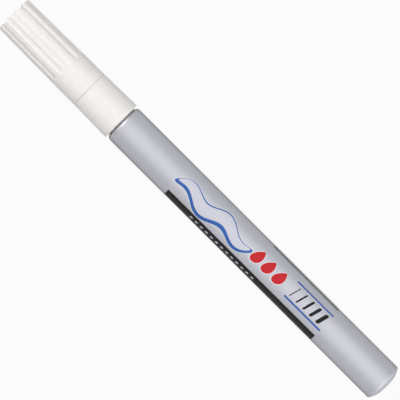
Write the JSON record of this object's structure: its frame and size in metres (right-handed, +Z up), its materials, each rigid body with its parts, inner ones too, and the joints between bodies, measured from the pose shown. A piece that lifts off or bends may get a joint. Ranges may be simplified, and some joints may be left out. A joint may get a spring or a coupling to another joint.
{
  "type": "paint marker",
  "caption": "Capped paint marker with a satin aluminium barrel, white collar and fluted pull-off cap; pressing its sprung fine nib opens a valve that lets paint through.",
  "frame": {"origin": "on the surface that the marker lies on, under the middle of its length", "axes": "+X along the marker's axis from cap to tail, +Y to the far side, +Z up"},
  "size_m": [0.133, 0.0112, 0.0112],
  "materials": {
    "barrel_metal": "satin silver lacquer",
    "print_black": "printed ink on the barrel",
    "print_blue": "printed ink on the barrel",
    "print_red": "printed ink on the barrel",
    "print_white": "printed ink on the barrel",
    "print_silver": "printed ink on the barrel",
    "cap_plastic": "semi-gloss moulded white",
    "holder_plastic": "satin moulded white",
    "liner_plastic": "waxy, slightly translucent",
    "valve_plastic": "natural moulded",
    "seal": "matte",
    "spring_wire": "drawn wire",
    "ball_steel": "polished",
    "nib_fibre": "bonded fibre"
  },
  "bodies": {
    "barrel_unit": {"barrel": "barrel_metal", "mouth_gasket": "seal", "front_holder": "holder_plastic", "collar": "cap_plastic", "valve_seat": "seal", "valve_case": "valve_plastic", "valve_spring": "spring_wire"},
    "cap_unit": {"cap": "cap_plastic", "cap_liner": "liner_plastic"},
    "nib_unit": {"nib": "nib_fibre"},
    "stem_unit": {"valve_stem": "valve_plastic"},
    "ball_unit": {"mixing_ball": "ball_steel"}
  },
  "joints": [
    {"name": "cap_pull", "type": "slide", "parent": "barrel_unit", "child": "cap_unit", "axis": [-1, 0, 0], "range_m": [0, 0.04]},
    {"name": "nib_press", "type": "slide", "parent": "barrel_unit", "child": "nib_unit", "axis": [1, 0, 0], "range_m": [0, 0.0015], "stiffness_N_per_m": 300, "deforming": ["valve_spring"]},
    {"name": "stem_lift", "type": "slide", "parent": "barrel_unit", "child": "stem_unit", "axis": [1, 0, 0], "range_m": [0, 0.0015]},
    {"name": "ball_rattle", "type": "slide", "parent": "barrel_unit", "child": "ball_unit", "axis": [-1, 0, 0], "range_m": [0, 0.0659]}
  ],
  "couplings": [
    {"joint": "stem_lift", "follows": "nib_press", "ratio": 1}
  ]
}
